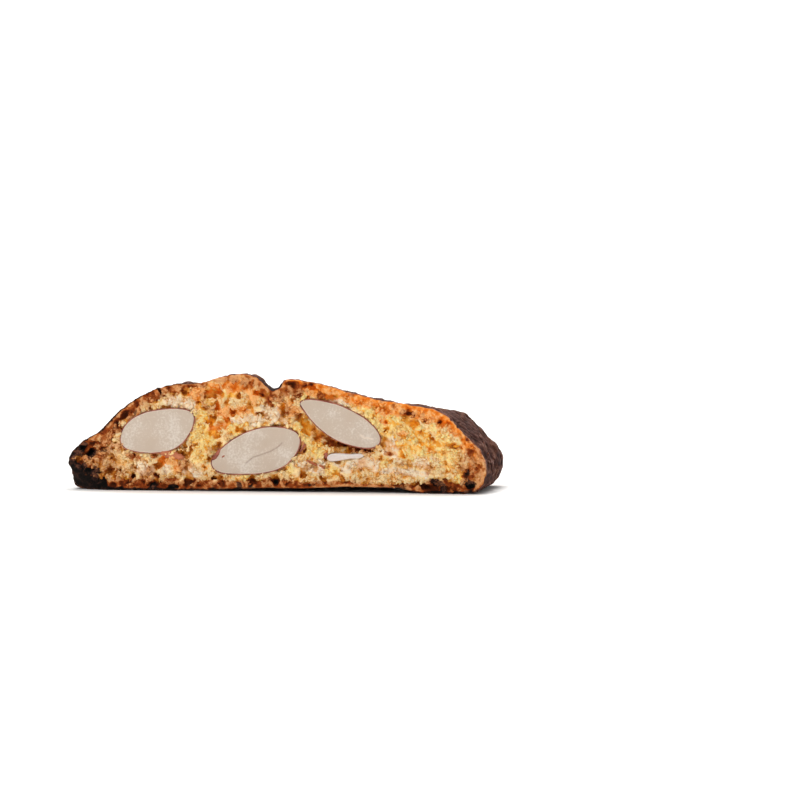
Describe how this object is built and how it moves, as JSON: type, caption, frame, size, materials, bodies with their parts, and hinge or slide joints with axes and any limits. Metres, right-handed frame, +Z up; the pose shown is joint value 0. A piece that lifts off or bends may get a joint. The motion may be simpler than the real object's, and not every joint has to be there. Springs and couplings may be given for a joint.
{
  "type": "almond biscotto",
  "caption": "Slice of a twice-baked almond log: flat cut crumb faces with cut almonds, a cracked brown crust on top and a flat baked base that it stands on.",
  "frame": {"origin": "middle of the bounding box, on the surface that the slice stands on", "axes": "+X along the slice to its right end seen from the front, +Y through its thickness to the back cut face, +Z up"},
  "size_m": [0.0909, 0.018, 0.0247],
  "materials": {
    "baked_dough": "rough crumb and baked crust",
    "almond_kernel": "smooth cut nut"
  },
  "bodies": {
    "root": {"biscuit": "baked_dough", "almond_left": "almond_kernel", "almond_middle": "almond_kernel", "almond_right": "almond_kernel", "almond_sliver": "almond_kernel", "almond_back_left": "almond_kernel", "almond_back_middle": "almond_kernel", "almond_back_right": "almond_kernel"}
  },
  "joints": []
}
